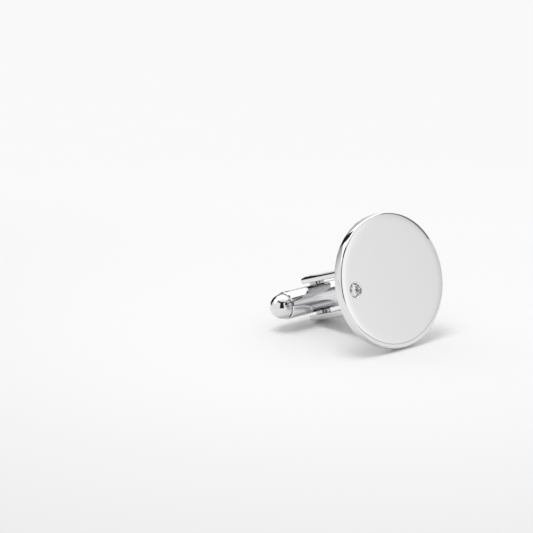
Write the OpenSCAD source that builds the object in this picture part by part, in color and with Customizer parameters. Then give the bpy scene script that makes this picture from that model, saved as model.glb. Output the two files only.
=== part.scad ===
// Round cufflink with a swivelling toggle, lying on the rim of its face and one end of its fork.
// Each piece is modelled face up: the back of the face is at z = 0 and the fork hangs down from it.
// The fork, the pin along Y and the locked toggle along X share the fork's own frame, which on_fork()
// leans against the face. placed() then lays the cufflink down.
// Sizes are in millimetres.

/* [Face disc] */
// Diameter of the face
disc_d = 16; // [15:0.5:20]
// Thickness of the face
disc_t = 1.25; // [1.2:0.05:2]
// Width of the bevel round the front edge
disc_bevel = 0.13; // [0.05:0.01:0.3]
// Radius of the rounded back edge
disc_back_r = 0.2; // [0.1:0.05:0.4]

/* [Stone and setting] */
// Diameter of the stone
stone_d = 1.7; // [1.5:0.05:1.75]
// Distance of the stone's middle from the edge of the face
stone_inset = 2; // [1.7:0.1:4]
// Depth of the stone's table below the face
table_drop = 0.02; // [0:0.01:0.1]
// Width of the setting's rim outside the stone
setting_rim = 0.1; // [0.09:0.01:0.15]
// Height of the setting
setting_h = 0.78; // [0.75:0.01:0.85]
// Reach of the lip over the edge of the stone
lip_reach = 0.03; // [0.02:0.01:0.06]
// Width of the bevel inside the lip
lip_bevel = 0.07; // [0.05:0.01:0.1]

/* [Fork] */
// Width of the crowned strip
strip_w = 3.6; // [3:0.1:4.5]
// Thickness of the strip at its edges
strip_t = 0.6; // [0.5:0.05:0.9]
// Height of the crown on the outer side of the strip
strip_crown = 0.26; // [0.05:0.01:0.3]
// Clear width between the arms
fork_gap = 3.95; // [3.8:0.05:4.4]
// Distance from the base of the fork to the ends of the arms
arm_reach = 13.5; // [12.8:0.1:16]
// Inner radius of the bends
bend_r = 0.6; // [0.3:0.1:1.2]
// Corner radius at the ends of the arms
arm_corner_r = 0.5; // [0.2:0.1:1.2]
// Distance of the fork below the middle of the face
fork_drop = 0.3; // [0:0.1:1]
// Angle by which the fork leans down from square to the face
fork_lean = 3.5; // [0:0.5:6]

/* [Pin and washers] */
// Distance of the middle of the pin from the ends of the arms
pin_inset = 1; // [0.9:0.1:2.5]
// Diameter of the pin
pin_d = 1; // [0.8:0.05:1.2]
// Diameter of the countersunk heads
pin_head_d = 1.5; // [1.4:0.05:1.8]
// Depth of the countersinks
pin_head_h = 0.25; // [0.15:0.05:0.4]
// Distance of the four flats from the middle of the pin, as a share of its radius
flat_share = 0.92; // [0.9:0.01:0.96]
// Outer diameter of the washers
washer_d = 1.8; // [1.7:0.05:2.1]

/* [Toggle] */
// Diameter of the barrel
barrel_d = 3.3; // [3:0.05:3.5]
// Length of the barrel without its end caps
barrel_l = 11.4; // [10.8:0.2:13.4]
// Width of the chamfer at the ends of the barrel
barrel_chamfer = 0.12; // [0.05:0.01:0.2]
// Diameter of the bore for the spring and the end caps
chamber_d = 1.9; // [1.8:0.05:2.1]
// Radius of the domed ends
dome_r = 1.45; // [1.3:0.05:1.5]
// Diameter of the groove between barrel and cap
groove_d = 2.5; // [2.3:0.1:2.7]
// Width of the groove between barrel and cap
groove_w = 0.2; // [0.1:0.05:0.3]
// Diameter of the thin ring under the dome
ring_d = 3; // [2.9:0.02:3.1]
// Width of the thin ring under the dome
ring_w = 0.25; // [0.15:0.05:0.4]
// Length of the spigot that holds a cap in the barrel
spigot_l = 2; // [1:0.1:3]

/* [Detent] */
// Diameter of the plunger's flat nose
nose_d = 0.8; // [0.6:0.05:0.9]
// Length of the plunger's nose
nose_l = 0.5; // [0.4:0.05:0.8]
// Length of the plunger's guiding collar
collar_l = 0.8; // [0.5:0.1:1.2]
// Length of the stub that keeps the spring in the middle
stub_l = 0.6; // [0.4:0.1:1]
// Diameter of the spring wire
wire_d = 0.22; // [0.15:0.01:0.26]
// Number of turns of the spring
spring_turns = 5; // [3:1:6]

/* [Fits] */
// Radial clearance of the pin in the barrel and the washers
pivot_clearance = 0.03; // [0.01:0.01:0.05]
// Radial clearance of the sliding plunger
guide_clearance = 0.03; // [0.02:0.01:0.05]
// Clearance of pieces that are pressed or set in
seat_clearance = 0.01; // [0.005:0.005:0.02]
// Play between each washer and its seat on the barrel
washer_play = 0.03; // [0.01:0.01:0.06]
// Depth of the washers' seats below the side of the barrel
washer_seat = 0.1; // [0.05:0.01:0.15]

/* [Hidden] */

// Reach of cuts beyond the surface that they open
overrun = 1;
// Facets of a full circle: of turned pieces, and of the crown, which is a short part of one
round_fn = 96;
crown_fn = 720;

disc_r = disc_d / 2;
pin_r = pin_d / 2;
barrel_r = barrel_d / 2;
chamber_r = chamber_d / 2;
washer_r = washer_d / 2;
wire_r = wire_d / 2;

// The crowned side of the strip is an arc over its width.
crown_r = (pow(strip_w / 2, 2) + pow(strip_crown, 2)) / (2 * strip_crown);
strip_full_t = strip_t + strip_crown;
arm_out = fork_gap / 2 + strip_full_t;
pin_drop = arm_reach - pin_inset;

// The fork sits so far into the back of the face that its leaning base is filed flat all over.
base_sink = (fork_gap / 2 - bend_r) * tan(fork_lean);

// The cufflink leans back until the rounded back edge of the face and the end of the lower arm
// touch the ground. tilt is the angle between the face and the upright.
end_y = fork_drop + arm_out * cos(fork_lean) + arm_reach * sin(fork_lean);
end_z = arm_reach * cos(fork_lean) - arm_out * sin(fork_lean) - base_sink;
lean_run = disc_r - disc_back_r - end_y;
lean_drop = end_z + disc_back_r;
tilt = acos(-disc_back_r / norm([lean_run, lean_drop])) - atan2(lean_drop, lean_run);
stand_z = (disc_r - disc_back_r) * cos(tilt) - disc_back_r * sin(tilt) + disc_back_r;
front_reach = (disc_r - disc_bevel) * sin(tilt) + disc_t * cos(tilt);
fork_tilt = tilt + fork_lean;
rear_reach = arm_out * sin(fork_tilt) + arm_reach * cos(fork_tilt) - fork_drop * sin(tilt)
    - base_sink * cos(tilt);
stand_y = (front_reach - rear_reach) / 2;

// Proportions of a round brilliant, as shares of the stone's diameter
table_share = 0.57;
crown_share = 0.16;
girdle_share = 0.033;
pavilion_share = 0.43;
// Radius of the ring where star and kite facets meet, and of the pavilion's lower facets,
// as shares of the stone's radius
star_ring_share = 0.79;
lower_ring_share = 0.24;
// Radius of the light hole under the stone, as a share of the stone's radius
light_hole_share = 0.6;
stone_r = stone_d / 2;
stone_offset = disc_r - stone_inset;
table_r = stone_r * table_share;
table_z = disc_t - table_drop;
girdle_top_z = table_z - stone_d * crown_share;
girdle_low_z = girdle_top_z - stone_d * girdle_share;
culet_z = girdle_low_z - stone_d * pavilion_share;

setting_r = stone_r + setting_rim;
setting_low_z = disc_t - setting_h;
lip_r = stone_r - lip_reach;
light_hole_r = stone_r * light_hole_share;
// The hole under the setting is as deep as the point of the stone, and one clearance more.
pilot_low_z = culet_z - seat_clearance;

// The middle of the pin has flats for the detent, within the plunger's bore.
flat_dist = pin_r * flat_share;
washer_seat_y = barrel_r - washer_seat;
washer_t = fork_gap / 2 - washer_seat_y - washer_play;

barrel_end = barrel_l / 2;
spigot_r = chamber_r - seat_clearance;
plunger_x = flat_dist + seat_clearance;
collar_r = chamber_r - guide_clearance;
spring_x = plunger_x + nose_l + collar_l + seat_clearance;
spring_l = barrel_end - spigot_l - seat_clearance - spring_x;
coil_r = chamber_r - wire_r - 2 * guide_clearance;
stub_r = coil_r - wire_r - 2 * guide_clearance;
// Steps in each turn of the spring, and sides of its wire
spring_steps = 14;
wire_sides = 6;

steel = [0.80, 0.80, 0.81];
bright_steel = [0.88, 0.88, 0.89];
dark_steel = [0.55, 0.55, 0.57];
crystal = [0.93, 0.95, 0.98];

// Lays a piece down from its own face-up frame.
module placed() {
    translate([0, stand_y, stand_z])
        rotate([90 - tilt, 0, 0])
            children();
}

// Lays a piece of the fork or the toggle down from the fork's frame.
module on_fork() {
    placed()
        translate([0, -fork_drop, base_sink])
            rotate([-fork_lean, 0, 0])
                children();
}

// Round bar along the pin, about the middle of the pin.
module pin_bar(r, h) {
    translate([0, 0, -pin_drop])
        rotate([90, 0, 0])
            cylinder(h = h, r = r, center = true, $fn = round_fn);
}

// Turned form along the toggle: the profile's Y axis becomes the X axis.
module turned_along_toggle() {
    translate([0, 0, -pin_drop])
        rotate([0, 90, 0])
            rotate_extrude($fn = round_fn)
                children();
}

// Half section of the face: front bevel, rounded back edge.
module disc_profile() {
    back_flat = disc_r - disc_back_r;
    polygon([
        [0, 0], [back_flat, 0], [back_flat, disc_back_r], [disc_r, disc_back_r],
        [disc_r, disc_t - disc_bevel], [disc_r - disc_bevel, disc_t], [0, disc_t]
    ]);
    translate([back_flat, disc_back_r])
        circle(r = disc_back_r, $fn = round_fn);
}

module face_disc() {
    color(steel)
        placed()
            difference() {
                rotate_extrude($fn = 2 * round_fn)
                    disc_profile();
                translate([-stone_offset, 0, setting_low_z])
                    cylinder(h = setting_h + overrun, r = setting_r + seat_clearance, $fn = round_fn);
                translate([-stone_offset, 0, pilot_low_z])
                    cylinder(h = disc_t, r = light_hole_r, $fn = round_fn);
            }
}

// Half section of the setting: a light hole, a cone that bears the stone, a lip and its bevel.
module setting_profile() {
    pocket_r = stone_r + seat_clearance;
    pavilion_slope = stone_d * pavilion_share / stone_r;
    crown_slope = stone_d * crown_share / (stone_r - table_r);
    bearing_z = girdle_low_z - seat_clearance;
    lip_z = girdle_top_z + seat_clearance;
    polygon([
        [light_hole_r, setting_low_z],
        [setting_r, setting_low_z],
        [setting_r, disc_t],
        [lip_r + lip_bevel, disc_t],
        [lip_r, disc_t - lip_bevel],
        [lip_r, lip_z + (pocket_r - lip_r) * crown_slope],
        [pocket_r, lip_z],
        [pocket_r, bearing_z],
        [light_hole_r, bearing_z - (pocket_r - light_hole_r) * pavilion_slope]
    ]);
}

module stone_setting() {
    color(bright_steel)
        placed()
            translate([-stone_offset, 0, 0])
                rotate_extrude($fn = round_fn)
                    setting_profile();
}

// Ring of points at one height; turn is in degrees.
function ring(count, r, z, turn) = [
    for (i = [0:count - 1]) [r * cos(360 * i / count + turn), r * sin(360 * i / count + turn), z]
];

// Round brilliant: table, star, kite and upper facets, girdle, lower facets and pavilion mains.
module brilliant() {
    sides = 8;
    half = 180 / sides;
    fine = 2 * sides;
    star_r = stone_r * star_ring_share;
    low_r = stone_r * lower_ring_share;
    // Each kite facet is flat from a corner of the table to the girdle.
    star_z = table_z + (girdle_top_z - table_z) * (star_r * cos(half) - table_r) / (stone_r - table_r);
    // Each pavilion main is flat from the girdle to the point.
    low_z = girdle_low_z + (culet_z - girdle_low_z) * (stone_r - low_r * cos(half)) / stone_r;
    points = concat(
        ring(sides, table_r, table_z, 0),
        ring(sides, star_r, star_z, half),
        ring(fine, stone_r, girdle_top_z, 0),
        ring(fine, stone_r, girdle_low_z, 0),
        ring(sides, low_r, low_z, half),
        [[0, 0, culet_z]]
    );
    star = sides;
    top = star + sides;
    low = top + fine;
    lower = low + fine;
    point = lower + sides;
    faces = concat(
        [[for (i = [sides - 1:-1:0]) i]],
        [for (i = [0:sides - 1]) [i, (i + 1) % sides, star + i]],
        [for (i = [0:sides - 1]) [i, star + i, top + 2 * i]],
        [for (i = [0:sides - 1]) [i, top + 2 * i, star + (i + sides - 1) % sides]],
        [for (i = [0:sides - 1]) [star + i, top + 2 * i + 1, top + 2 * i]],
        [for (i = [0:sides - 1]) [star + i, top + (2 * i + 2) % fine, top + 2 * i + 1]],
        [for (i = [0:fine - 1]) [top + i, top + (i + 1) % fine, low + (i + 1) % fine]],
        [for (i = [0:fine - 1]) [top + i, low + (i + 1) % fine, low + i]],
        [for (i = [0:sides - 1]) [low + 2 * i, low + 2 * i + 1, lower + i]],
        [for (i = [0:sides - 1]) [low + 2 * i + 1, low + (2 * i + 2) % fine, lower + i]],
        [for (i = [0:sides - 1]) [lower + i, low + (2 * i + 2) % fine, lower + (i + 1) % sides]],
        [for (i = [0:sides - 1]) [lower + i, lower + (i + 1) % sides, point]]
    );
    polyhedron(points, faces);
}

module stone() {
    color(crystal)
        placed()
            translate([-stone_offset, 0, 0])
                brilliant();
}

// Cross-section of the strip: flat inner side at x = 0, crowned side towards +X.
module strip_section() {
    intersection() {
        translate([0, -strip_w / 2])
            square([strip_full_t, strip_w]);
        translate([strip_full_t - crown_r, 0])
            circle(r = crown_r, $fn = crown_fn);
    }
}

// Outline of an arm seen from the side of the pin, with rounded corners at its end.
module arm_outline() {
    inset = strip_w / 2 - arm_corner_r;
    translate([-strip_w / 2, arm_corner_r - arm_reach])
        square([strip_w, arm_reach + overrun]);
    translate([-inset, -arm_reach])
        square([2 * inset, arm_reach]);
    for (side = [-1, 1])
        translate([side * inset, arm_corner_r - arm_reach])
            circle(r = arm_corner_r, $fn = round_fn);
}

// Half of the bent strip, on the +Y side: arm, bend and half of the base.
module half_strip() {
    bend_y = fork_gap / 2 - bend_r;
    bend_z = -strip_t - bend_r;
    translate([0, fork_gap / 2, -arm_reach])
        linear_extrude(height = arm_reach + bend_z)
            rotate(90)
                strip_section();
    translate([0, bend_y, bend_z])
        rotate([90, 0, 90])
            rotate_extrude(angle = 90, $fn = round_fn)
                translate([bend_r, 0])
                    strip_section();
    translate([0, 0, -strip_t])
        rotate([0, -90, -90])
            linear_extrude(height = bend_y)
                strip_section();
}

// Holes and countersinks for the pin.
module pin_holes() {
    pin_bar(pin_r + seat_clearance, 2 * (arm_out + overrun));
    for (side = [-1, 1])
        pin_head(side, seat_clearance);
}

// Countersunk head on one side, grown by a clearance.
module pin_head(side, gap) {
    translate([0, side * arm_out, -pin_drop])
        rotate([90 * side, 0, 0])
            cylinder(h = pin_head_h, r1 = pin_head_d / 2 + gap, r2 = pin_r + gap, $fn = round_fn);
}

module u_arm() {
    color(steel)
        difference() {
            on_fork()
                difference() {
                    intersection() {
                        union() {
                            half_strip();
                            mirror([0, 1, 0])
                                half_strip();
                        }
                        rotate([90, 0, 0])
                            linear_extrude(height = 2 * (arm_out + overrun), center = true)
                                arm_outline();
                    }
                    pin_holes();
                }
            // The base is filed flat where it meets the face.
            placed()
                translate([-strip_w, -disc_r, 0])
                    cube([2 * strip_w, disc_d, overrun]);
        }
}

// The pin's heads are filed to the crowned sides of the arms.
module pivot_pin() {
    flat_l = chamber_d + 2 * guide_clearance;
    color(bright_steel)
        on_fork()
            intersection() {
                difference() {
                    union() {
                        pin_bar(pin_r, 2 * arm_out);
                        for (side = [-1, 1])
                            pin_head(side, 0);
                    }
                    translate([0, 0, -pin_drop])
                        for (turn = [0:90:270])
                            rotate([0, turn, 0])
                                translate([flat_dist, -flat_l / 2, -pin_r])
                                    cube([pin_r, flat_l, pin_d]);
                }
                translate([0, arm_out - crown_r, -pin_drop - pin_head_d])
                    cylinder(h = 2 * pin_head_d, r = crown_r, $fn = crown_fn);
                translate([0, crown_r - arm_out, -pin_drop - pin_head_d])
                    cylinder(h = 2 * pin_head_d, r = crown_r, $fn = crown_fn);
            }
}

// Washer against the inner side of one arm.
module washer(side) {
    color(bright_steel)
        on_fork()
            translate([0, side * (fork_gap - washer_t) / 2, 0])
                difference() {
                    pin_bar(washer_r, washer_t);
                    pin_bar(pin_r + pivot_clearance, washer_t + overrun);
                }
}

module upper_washer() {
    washer(1);
}

module lower_washer() {
    washer(-1);
}

// Half section of the barrel, with chamfered ends.
module barrel_profile() {
    small_r = barrel_r - barrel_chamfer;
    polygon([
        [0, -barrel_end], [small_r, -barrel_end], [barrel_r, barrel_chamfer - barrel_end],
        [barrel_r, barrel_end - barrel_chamfer], [small_r, barrel_end], [0, barrel_end]
    ]);
}

module toggle_barrel() {
    seat_gap = washer_r + 2 * pivot_clearance;
    color(steel)
        on_fork()
            difference() {
                turned_along_toggle()
                    barrel_profile();
                // Spring chamber, open from the right end to the pin
                turned_along_toggle()
                    square([chamber_r, barrel_end + overrun]);
                // Bore for the left cap
                turned_along_toggle()
                    translate([0, -barrel_end - overrun])
                        square([chamber_r, spigot_l + overrun + seat_clearance]);
                pin_bar(pin_r + pivot_clearance, barrel_d + overrun);
                // Flat seats for the washers
                for (side = [-1, 1])
                    translate([0, side * (washer_seat_y + overrun / 2), 0])
                        pin_bar(seat_gap, overrun);
            }
}

// Half section of an end cap, from its spigot to its dome.
module cap_profile() {
    translate([0, -spigot_l])
        square([spigot_r, spigot_l + groove_w]);
    square([groove_d / 2, groove_w + ring_w]);
    translate([0, groove_w])
        square([ring_d / 2, ring_w]);
    translate([0, groove_w + ring_w])
        intersection() {
            circle(r = dome_r, $fn = round_fn);
            square([dome_r, dome_r]);
        }
}

module end_cap() {
    translate([0, 0, -pin_drop])
        rotate([0, 90, 0])
            translate([0, 0, barrel_end])
                rotate_extrude($fn = round_fn)
                    cap_profile();
}

module left_end_cap() {
    color(steel)
        on_fork()
            mirror([1, 0, 0])
                end_cap();
}

module right_end_cap() {
    color(steel)
        on_fork()
            end_cap();
}

// Plunger: a flat nose on the pin, a collar that slides in the barrel and a stub in the spring.
module detent_plunger() {
    color(dark_steel)
        on_fork()
            turned_along_toggle()
                translate([0, plunger_x]) {
                    square([nose_d / 2, nose_l + collar_l]);
                    translate([0, nose_l])
                        square([collar_r, collar_l]);
                    translate([0, nose_l])
                        square([stub_r, collar_l + stub_l]);
                }
}

// Compression spring as one swept tube, its ends square to the wire.
module detent_spring() {
    steps = spring_turns * spring_steps;
    rise = spring_l - wire_d;
    pitch = rise / spring_turns;
    // Height of the wire's cross-section where it climbs
    lean = atan2(pitch, 2 * PI * coil_r);
    points = [
        for (i = [0:steps])
            let (turn = 360 * i / spring_steps, z = spring_x + wire_r + rise * i / steps)
                for (j = [0:wire_sides - 1])
                    let (
                        a = 360 * j / wire_sides,
                        out = wire_r * cos(a),
                        along = -wire_r * sin(a) * sin(lean),
                        up = wire_r * sin(a) * cos(lean)
                    )
                        [
                            (coil_r + out) * cos(turn) - along * sin(turn),
                            (coil_r + out) * sin(turn) + along * cos(turn),
                            z + up
                        ]
    ];
    last = steps * wire_sides;
    faces = concat(
        [[for (j = [0:wire_sides - 1]) j]],
        [[for (j = [wire_sides - 1:-1:0]) last + j]],
        [
            for (i = [0:steps - 1], j = [0:wire_sides - 1])
                let (a = i * wire_sides, k = (j + 1) % wire_sides)
                    [a + j, a + wire_sides + j, a + k]
        ],
        [
            for (i = [0:steps - 1], j = [0:wire_sides - 1])
                let (a = i * wire_sides, k = (j + 1) % wire_sides)
                    [a + k, a + wire_sides + j, a + wire_sides + k]
        ]
    );
    color(dark_steel)
        on_fork()
            translate([0, 0, -pin_drop])
                rotate([0, 90, 0])
                    polyhedron(points, faces);
}

face_disc();
stone_setting();
stone();
u_arm();
pivot_pin();
upper_washer();
lower_washer();
toggle_barrel();
left_end_cap();
right_end_cap();
detent_plunger();
detent_spring();
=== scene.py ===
"""A round polished cufflink with a small inset stone, its fork and its swivelling toggle."""
import math
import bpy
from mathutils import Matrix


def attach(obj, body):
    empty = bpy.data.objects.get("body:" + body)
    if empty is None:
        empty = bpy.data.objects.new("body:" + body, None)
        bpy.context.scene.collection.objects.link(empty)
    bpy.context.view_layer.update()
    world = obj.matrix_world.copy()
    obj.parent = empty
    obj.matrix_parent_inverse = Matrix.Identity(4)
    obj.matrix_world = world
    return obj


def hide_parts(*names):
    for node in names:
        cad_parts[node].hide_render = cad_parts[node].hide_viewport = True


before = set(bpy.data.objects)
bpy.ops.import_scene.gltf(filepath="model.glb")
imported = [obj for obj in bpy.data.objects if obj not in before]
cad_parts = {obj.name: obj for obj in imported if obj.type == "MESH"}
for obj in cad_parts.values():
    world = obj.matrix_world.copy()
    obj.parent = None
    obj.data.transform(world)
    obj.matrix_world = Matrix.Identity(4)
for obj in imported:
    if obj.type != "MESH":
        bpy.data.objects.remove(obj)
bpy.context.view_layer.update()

from types import SimpleNamespace

import bmesh
import bpy
from bpy.props import FloatProperty, FloatVectorProperty, IntProperty, PointerProperty
from bpy.types import Operator, Panel, PropertyGroup
from mathutils import Matrix, Vector

bl_info = {
    "name": "Cufflink with toggle",
    "version": (1, 0, 0),
    "blender": (4, 5, 0),
    "location": "3D View > Sidebar > Cufflink",
    "description": "Builds a round cufflink, its fork, toggle and inset stone, and a small studio",
    "category": "Object",
}

MM = 0.001
# Sides of a large turned form and of a small one
TURN_SIDES = 256
SMALL_SIDES = 96
# Corners sharper than this stay sharp in shading; rounded edges turn by less at each step.
SHARP_ANGLE = math.radians(35)
EDGE_STEPS = 5
# A corner gets no rounding where half its angle is wider than this. A rounding takes up to this
# share of a side, and its support point lies at this multiple of its reach.
WIDEST_HALF = math.radians(85)
SIDE_SHARE = 0.35
SUPPORT_AT = 1.25
# In millimetres: the gaps round fitted, turning and loose pieces, the radius of a broken edge,
# the depth of the washers' seats in the barrel, and how far a cutter stands out of its cut
FIT = 0.01
RUN = 0.03
LOOSE = 0.06
BROKEN_EDGE = 0.03
SEAT_DEPTH = 0.1
OVERRUN = 1.0
# Polishing turns the front bevel into an edge with a radius of this many bevel widths, and the
# edge takes up this share of its radius across the face.
BEVEL_GROWTH = 2
BEVEL_REACH = 0.83
# Steps of the profile of the face, in its roll-off and back edge, and in its rim and front edge
ROLL_STEPS = 12
RIM_STEPS = 10
# Depths in the strip, in millimetres, where the duller steel and its painted shade between the arms begin
# and end to fade
DULL_AND_SHADE_FADE = (0.03, 0.1)
# The stone's proportions and the hole under it, as shares of its diameter
TABLE_SHARE = 0.57
STAR_SHARE = 0.79
INNER_SHARE = 0.24
CROWN_SHARE = 0.16
GIRDLE_SHARE = 0.033
PAVILION_SHARE = 0.43
HOLE_SHARE = 0.6
# The pin's flats lie at this share of its radius.
FLAT_SHARE = 0.92
# The strongest light that a studio panel may give
TOP_STRENGTH = 2.0
# The frame in pixels, where the middle of the face falls in it, and the sensor in millimetres
FRAME = 533
FACE_AT = (393.52, 280.28)
SENSOR = 36


def linear(code):
    """A colour written as sRGB hex, in linear light with full alpha."""
    parts = [int(code[i:i + 2], 16) / 255 for i in (1, 3, 5)]
    return (*[c / 12.92 if c <= 0.04045 else ((c + 0.055) / 1.055) ** 2.4 for c in parts], 1.0)


def spaced(low, high, steps):
    """Values from low to high in even steps, with both ends."""
    return [low + (high - low) * i / steps for i in range(steps + 1)]


def length(name, value, description):
    """A property that holds a length in metres."""
    return FloatProperty(
        name=name, description=description, default=value, min=0.0, unit="LENGTH", precision=5
    )


def colour(name, code, description):
    """A property that holds a colour."""
    return FloatVectorProperty(
        name=name, description=description, default=linear(code), size=4, min=0.0, max=1.0, subtype="COLOR"
    )


class CufflinkFace(PropertyGroup):
    """Sizes of the face, the stone and its collar."""

    disc_d: length("Face diameter", 0.016, "Diameter of the face")
    disc_t: length("Face thickness", 0.00125, "Thickness of the face")
    disc_bevel: length("Front bevel", 0.00013, "Width of the bevel round the front edge")
    disc_back_r: length("Back edge radius", 0.0002, "Radius of the rounded back edge")
    roll_off: length("Roll-off", 0.00006, "Depth by which buffing has rounded the face towards its edge")
    roll_width: length("Roll-off width", 0.0015, "Width of the ring in which the face rolls off")
    rim_crown: length("Rim crown", 0.000018, "Height of the slight crown across the rim")
    rim_soft: length("Rim softness", 0.00006, "Radius that polishing has left on the back edge of the rim")
    stone_d: length("Stone diameter", 0.0017, "Diameter of the stone")
    stone_inset: length("Stone inset", 0.002, "Distance of the stone from the edge of the face")
    table_drop: length("Table depth", 0.00002, "Depth of the stone's table below the face")
    setting_rim: length("Collar width", 0.0001, "Width of the collar outside the stone")
    setting_h: length("Collar height", 0.00078, "Height of the collar")
    lip_reach: length("Lip reach", 0.00003, "Reach of the lip over the stone")
    lip_bevel: length("Lip bevel", 0.00007, "Width of the bevel inside the lip")


class CufflinkFork(PropertyGroup):
    """Sizes of the fork, the pin and the washers."""

    strip_w: length("Strip width", 0.0036, "Width of the crowned strip")
    strip_t: length("Strip thickness", 0.0006, "Thickness of the strip at its edges")
    strip_crown: length("Crown", 0.00026, "Height of the crown on the strip's outer side")
    fork_gap: length("Fork gap", 0.00395, "Clear width between the arms")
    arm_reach: length("Arm reach", 0.0135, "Distance from the base of the fork to its ends")
    bend_r: length("Bend radius", 0.0006, "Inner radius of the bends")
    arm_corner_r: length("Arm corner radius", 0.0005, "Corner radius at the ends of the arms")
    fork_drop: length("Fork drop", 0.0003, "Distance of the fork below the middle of the face")
    fork_lean: FloatProperty(
        name="Fork lean", description="Angle by which the fork leans down from square to the face",
        default=math.radians(3.5), unit="ROTATION",
    )
    pin_inset: length("Pin inset", 0.001, "Distance of the pin from the ends of the arms")
    pin_d: length("Pin diameter", 0.001, "Diameter of the pin")
    pin_head_d: length("Pin head diameter", 0.0015, "Diameter of the countersunk heads")
    pin_head_h: length("Pin head depth", 0.00025, "Depth of the countersinks")
    washer_d: length("Washer diameter", 0.0018, "Outer diameter of the washers")


class CufflinkToggle(PropertyGroup):
    """Sizes of the toggle and of the detent inside it."""

    barrel_d: length("Barrel diameter", 0.0033, "Diameter of the barrel")
    barrel_l: length("Barrel length", 0.0114, "Length of the barrel without its caps")
    barrel_chamfer: length("Barrel chamfer", 0.00012, "Width of the chamfer at the barrel's ends")
    chamber_d: length("Bore", 0.0019, "Diameter of the bore for the spring and the caps")
    dome_r: length("Dome radius", 0.00145, "Radius of the domed ends")
    groove_d: length("Groove diameter", 0.0025, "Diameter of the groove between barrel and cap")
    groove_w: length("Groove width", 0.0002, "Width of the groove between barrel and cap")
    ring_d: length("Ring diameter", 0.003, "Diameter of the thin ring under the dome")
    ring_w: length("Ring width", 0.00025, "Width of the thin ring under the dome")
    spigot_l: length("Spigot length", 0.002, "Length of the spigot that holds a cap")
    nose_d: length("Nose diameter", 0.0008, "Diameter of the plunger's nose")
    nose_l: length("Nose length", 0.0005, "Length of the plunger's nose")
    collar_l: length("Collar length", 0.0008, "Length of the plunger's collar")
    stub_l: length("Stub length", 0.0006, "Length of the stub inside the spring")
    wire_d: length("Spring wire", 0.00022, "Diameter of the spring wire")
    spring_turns: IntProperty(name="Spring turns", description="Turns of the spring", default=5, min=1)


class CufflinkFinish(PropertyGroup):
    """Colours of the finishes."""

    chrome: colour("Polished steel", "#E6E6E7", "Colour of the plated, polished steel")
    # The darker colour between the arms is painted shade of the narrow gap there.
    inside: colour("Dull steel", "#C6C6C8", "Colour of the steel between the arms")
    collar: colour("Bright-cut collar", "#EDEDEE", "Colour of the stone's collar")
    plain: colour("Turned steel", "#C9C9CB", "Colour of the pin and the washers")
    spring: colour("Spring steel", "#8E8C89", "Colour of the spring wire")
    stone: colour("Crystal", "#FBFCFE", "Colour of the stone")
    floor: colour("Floor", "#F3F3F3", "Colour of the studio floor")


class CufflinkStudio(PropertyGroup):
    """The photograph's view of the cufflink."""

    azimuth: FloatProperty(
        name="Azimuth", description="Turn of the camera round the cufflink",
        default=math.radians(-40.74), unit="ROTATION",
    )
    elevation: FloatProperty(
        name="Elevation", description="Height of the camera above the horizon",
        default=math.radians(16.39), unit="ROTATION",
    )
    distance: length("Distance", 0.3, "Distance of the camera from the middle of the face")
    lens: FloatProperty(
        name="Lens", description="Focal length on a 36 mm sensor", default=173.86, unit="CAMERA"
    )


GROUPS = {
    "cufflink_face": CufflinkFace,
    "cufflink_fork": CufflinkFork,
    "cufflink_toggle": CufflinkToggle,
    "cufflink_finish": CufflinkFinish,
    "cufflink_studio": CufflinkStudio,
}


def in_mm(*names):
    """The named groups' lengths in millimetres, with their other values, as one record."""
    values = {}
    for name in names:
        group = getattr(bpy.context.scene, name)
        for key in GROUPS[name].__annotations__:
            value = getattr(group, key)
            is_length = group.bl_rna.properties[key].unit == "LENGTH"
            values[key] = value / MM if is_length else value
    return SimpleNamespace(**values)


def crown_radius(s):
    """Radius of the circle that the crown of the strip is part of."""
    half = s.strip_w / 2
    return (half * half + s.strip_crown * s.strip_crown) / (2 * s.strip_crown)


def arm_outside(s):
    """Distance of the top of an arm's crown from the middle of the fork."""
    return s.fork_gap / 2 + s.strip_t + s.strip_crown


def layout():
    """How the cufflink lies: frames of its pieces, from millimetres to metres."""
    s = in_mm("cufflink_face", "cufflink_fork")
    lean = s.fork_lean
    disc_r = s.disc_d / 2
    arm_out = arm_outside(s)
    sink = (s.fork_gap / 2 - s.bend_r) * math.tan(lean)
    end_y = s.fork_drop + arm_out * math.cos(lean) + s.arm_reach * math.sin(lean)
    end_z = s.arm_reach * math.cos(lean) - arm_out * math.sin(lean) - sink
    run, drop = disc_r - s.disc_back_r - end_y, end_z + s.disc_back_r
    tilt = math.acos(-s.disc_back_r / math.hypot(run, drop)) - math.atan2(drop, run)
    stand_z = (disc_r - s.disc_back_r) * math.cos(tilt) + s.disc_back_r * (1 - math.sin(tilt))
    front = (disc_r - s.disc_bevel) * math.sin(tilt) + s.disc_t * math.cos(tilt)
    rear = arm_out * math.sin(tilt + lean) + s.arm_reach * math.cos(tilt + lean)
    rear -= s.fork_drop * math.sin(tilt) + sink * math.cos(tilt)
    face = (
        Matrix.Scale(MM, 4)
        @ Matrix.Translation((0, (front - rear) / 2, stand_z))
        @ Matrix.Rotation(math.pi / 2 - tilt, 4, "X")
    )
    stone = face @ Matrix.Translation((s.stone_inset - disc_r, 0, 0))
    fork = face @ Matrix.Translation((0, -s.fork_drop, sink)) @ Matrix.Rotation(-lean, 4, "X")
    pin = fork @ Matrix.Translation((0, 0, s.pin_inset - s.arm_reach))
    toggle = pin @ Matrix.Rotation(math.pi / 2, 4, "Y")
    return SimpleNamespace(face=face, stone=stone, fork=fork, pin=pin, toggle=toggle)


def add(tree, kind, inputs=None, **settings):
    """Adds a node with its settings, and sets or links its inputs."""
    node = tree.nodes.new(kind)
    for name, value in settings.items():
        setattr(node, name, value)
    for socket, value in (inputs or {}).items():
        if isinstance(value, bpy.types.NodeSocket):
            tree.links.new(value, node.inputs[socket])
        else:
            node.inputs[socket].default_value = value
    return node


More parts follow.
